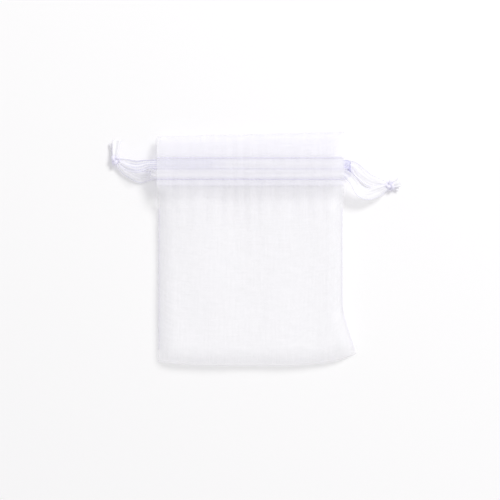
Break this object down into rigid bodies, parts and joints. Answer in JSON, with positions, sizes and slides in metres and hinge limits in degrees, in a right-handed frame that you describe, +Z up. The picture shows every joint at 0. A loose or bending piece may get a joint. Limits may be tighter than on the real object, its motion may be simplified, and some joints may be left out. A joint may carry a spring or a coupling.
{
  "type": "drawstring gift pouch",
  "caption": "Small flat pouch of sheer white organza with a hemmed header and a stitched casing, closed at the neck by knotted ribbon drawstrings that pull out at both sides.",
  "frame": {"origin": "on the table under the pouch, on its centre line and half way up its height, on the back panel's outer face", "axes": "+Y towards the mouth, +X to the right of someone looking down at the front, +Z up out of the front"},
  "size_m": [0.1093, 0.088, 0.0076],
  "materials": {
    "organza": "sheer plain-woven organza, crisp, with a faint sheen",
    "ribbon": "woven ribbon with a soft satin sheen",
    "thread": "matt polyester sewing thread"
  },
  "bodies": {
    "pouch": {"front_panel": "organza", "back_panel": "organza", "front_hem": "organza", "back_hem": "organza", "left_seam_allowance": "organza", "right_seam_allowance": "organza", "front_upper_seam": "thread", "front_lower_seam": "thread", "back_upper_seam": "thread", "back_lower_seam": "thread", "left_side_seam": "thread", "right_side_seam": "thread"},
    "left_drawstring": {"left_ribbon": "ribbon", "left_knot": "ribbon", "left_front_tail": "ribbon", "left_back_tail": "ribbon"},
    "right_drawstring": {"right_ribbon": "ribbon", "right_knot": "ribbon", "right_front_tail": "ribbon", "right_back_tail": "ribbon"}
  },
  "joints": [
    {"name": "left_pull", "type": "slide", "parent": "pouch", "child": "left_drawstring", "axis": [-1, 0, 0], "range_m": [0, 0.024], "deforming": ["front_hem", "back_hem"]},
    {"name": "right_pull", "type": "slide", "parent": "pouch", "child": "right_drawstring", "axis": [1, 0, 0], "range_m": [0, 0.024], "deforming": ["front_hem", "back_hem"]}
  ]
}
